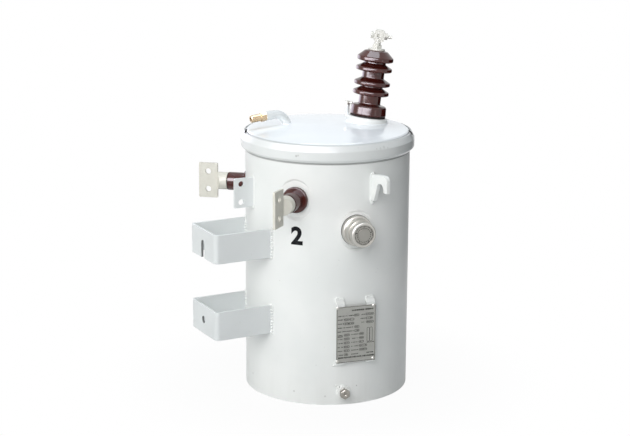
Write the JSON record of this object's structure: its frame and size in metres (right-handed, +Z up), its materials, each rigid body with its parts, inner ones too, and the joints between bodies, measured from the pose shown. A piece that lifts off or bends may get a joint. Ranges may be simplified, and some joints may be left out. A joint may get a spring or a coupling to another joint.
{
  "type": "pole mounted transformer",
  "caption": "Round oil-filled pole transformer with porcelain bushings, spade terminals, pole hangers, lifting lugs and tap changer.",
  "frame": {"origin": "centre of the tank's underside", "axes": "+Z up the tank, -X towards the pole, front with tap changer near -Y"},
  "size_m": [0.5445, 0.5314, 0.8691],
  "materials": {
    "tank_paint": "semi-gloss pale grey enamel over welded steel",
    "cover_paint": "gloss off-white enamel",
    "gasket_rubber": "matt black rubber",
    "brown_porcelain": "deep gloss red-brown glaze",
    "tinned_bronze": "satin tin plating with handling marks",
    "zinc_steel": "dull zinc plating",
    "valve_brass": "machined brass",
    "tap_metal": "satin turned metal",
    "plate_metal": "etched satin plate",
    "plug_bronze": "dull plated bronze"
  },
  "bodies": {
    "root": {"tank_shell": "tank_paint", "tank_base": "tank_paint", "cover": "cover_paint", "cover_gasket": "gasket_rubber", "cover_band": "cover_paint", "band_bolt": "zinc_steel", "hv_boss": "cover_paint", "hv_gasket": "gasket_rubber", "hv_porcelain": "brown_porcelain", "hv_terminal_cap": "tinned_bronze", "hv_stud_nut": "tinned_bronze", "hv_eye": "tinned_bronze", "hv_clamp_bolt": "zinc_steel", "hv_clamp_nut": "zinc_steel", "hv_post": "cover_paint", "hv_post_nut": "zinc_steel", "vent_elbow": "cover_paint", "vent_coupling": "cover_paint", "relief_nut": "valve_brass", "relief_valve": "valve_brass", "ground_pad": "tank_paint", "hanger_lower": "tank_paint", "hanger_upper": "tank_paint", "lifting_lug_front": "tank_paint", "lifting_lug_back": "tank_paint", "tap_gasket": "gasket_rubber", "tap_flange": "tap_metal", "tap_cap": "tap_metal", "rating_plate": "plate_metal", "plate_strip_left": "tank_paint", "plate_strip_right": "tank_paint", "drain_coupling": "tank_paint", "drain_plug": "plug_bronze", "lv_porcelain_front": "brown_porcelain", "lv_washer_front": "gasket_rubber", "lv_terminal_front": "tinned_bronze", "lv_porcelain_back": "brown_porcelain", "lv_washer_back": "gasket_rubber", "lv_terminal_back": "tinned_bronze"}
  },
  "joints": []
}
